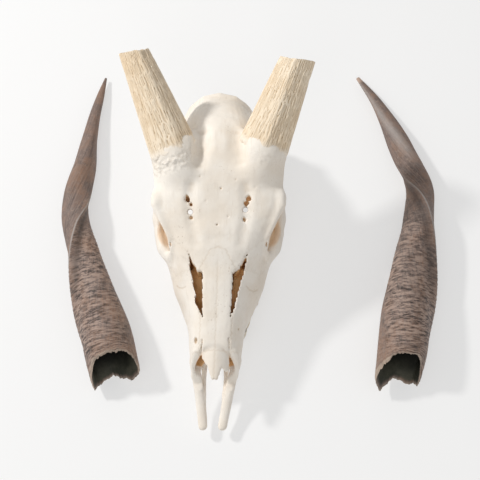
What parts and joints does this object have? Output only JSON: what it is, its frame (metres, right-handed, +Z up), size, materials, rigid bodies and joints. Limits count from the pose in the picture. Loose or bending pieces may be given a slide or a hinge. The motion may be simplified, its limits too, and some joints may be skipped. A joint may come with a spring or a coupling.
{
  "type": "antelope skull with horn sheaths",
  "caption": "Life-size dry bushbuck skull without its lower jaw, with bare cut horn cores, lying between its loose hollow horn sheaths.",
  "frame": {"origin": "on the floor, under the middle of the whole set's box", "axes": "+X towards the animal's left, +Y towards the back of the skull and the horn tips, +Z up from the floor that the cheek teeth stand on"},
  "size_m": [0.2854, 0.2908, 0.1323],
  "materials": {
    "bone": "dry bone, matte, with fine pits and warm staining",
    "core": "porous bone of a horn core, grooved along, matte",
    "horn": "weathered horn, ringed and striped, dull sheen"
  },
  "bodies": {
    "root": {"braincase": "bone", "occipital": "bone", "frontal_left": "bone", "frontal_right": "bone", "horn_core_left": "core", "horn_core_right": "core", "horn_sheath_left": "horn", "horn_sheath_right": "horn", "lacrimal_left": "bone", "lacrimal_right": "bone", "maxilla_left": "bone", "maxilla_right": "bone", "nasal_left": "bone", "nasal_right": "bone", "premaxilla_left": "bone", "premaxilla_right": "bone", "zygomatic_left": "bone", "zygomatic_right": "bone"}
  },
  "joints": []
}
